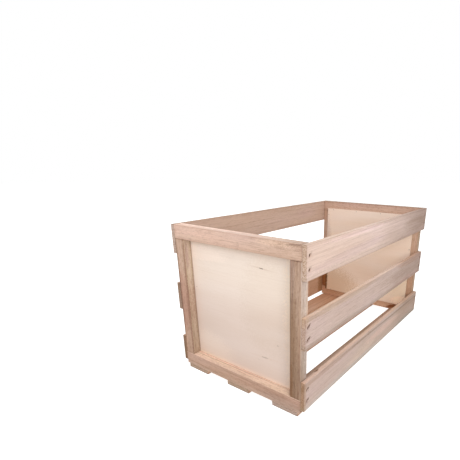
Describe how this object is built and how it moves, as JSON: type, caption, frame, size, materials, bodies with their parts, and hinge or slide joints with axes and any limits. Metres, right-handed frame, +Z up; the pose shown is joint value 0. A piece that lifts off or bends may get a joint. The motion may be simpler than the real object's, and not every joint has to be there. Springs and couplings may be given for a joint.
{
  "type": "record crate",
  "caption": "Open slatted wooden crate for 12-inch records, with framed plywood ends, spaced side and floor slats and countersunk screws.",
  "frame": {"origin": "middle of the footprint, on the ground, under the floor slats", "axes": "+X along the crate towards its back end, +Y towards its left side, +Z up out of the open top"},
  "size_m": [0.638, 0.349, 0.3425],
  "materials": {
    "slat_wood": "sawn and lightly sanded, bare",
    "frame_wood": "planed, bare",
    "plywood": "sanded pale plywood, bare",
    "screw_steel": "dark oxide",
    "nail_steel": "bright drawn"
  },
  "bodies": {
    "root": {"front_top_rail": "frame_wood", "front_bottom_rail": "frame_wood", "front_right_stile": "frame_wood", "front_left_stile": "frame_wood", "front_panel": "plywood", "front_frame_nails": "nail_steel", "front_panel_pins": "nail_steel", "back_top_rail": "frame_wood", "back_bottom_rail": "frame_wood", "back_right_stile": "frame_wood", "back_left_stile": "frame_wood", "back_panel": "plywood", "back_frame_nails": "nail_steel", "back_panel_pins": "nail_steel", "right_top_slat": "slat_wood", "right_middle_slat": "slat_wood", "right_bottom_slat": "slat_wood", "left_top_slat": "slat_wood", "left_middle_slat": "slat_wood", "left_bottom_slat": "slat_wood", "right_floor_slat": "slat_wood", "middle_floor_slat": "slat_wood", "left_floor_slat": "slat_wood", "right_side_screws": "screw_steel", "left_side_screws": "screw_steel", "floor_screws": "screw_steel"}
  },
  "joints": []
}
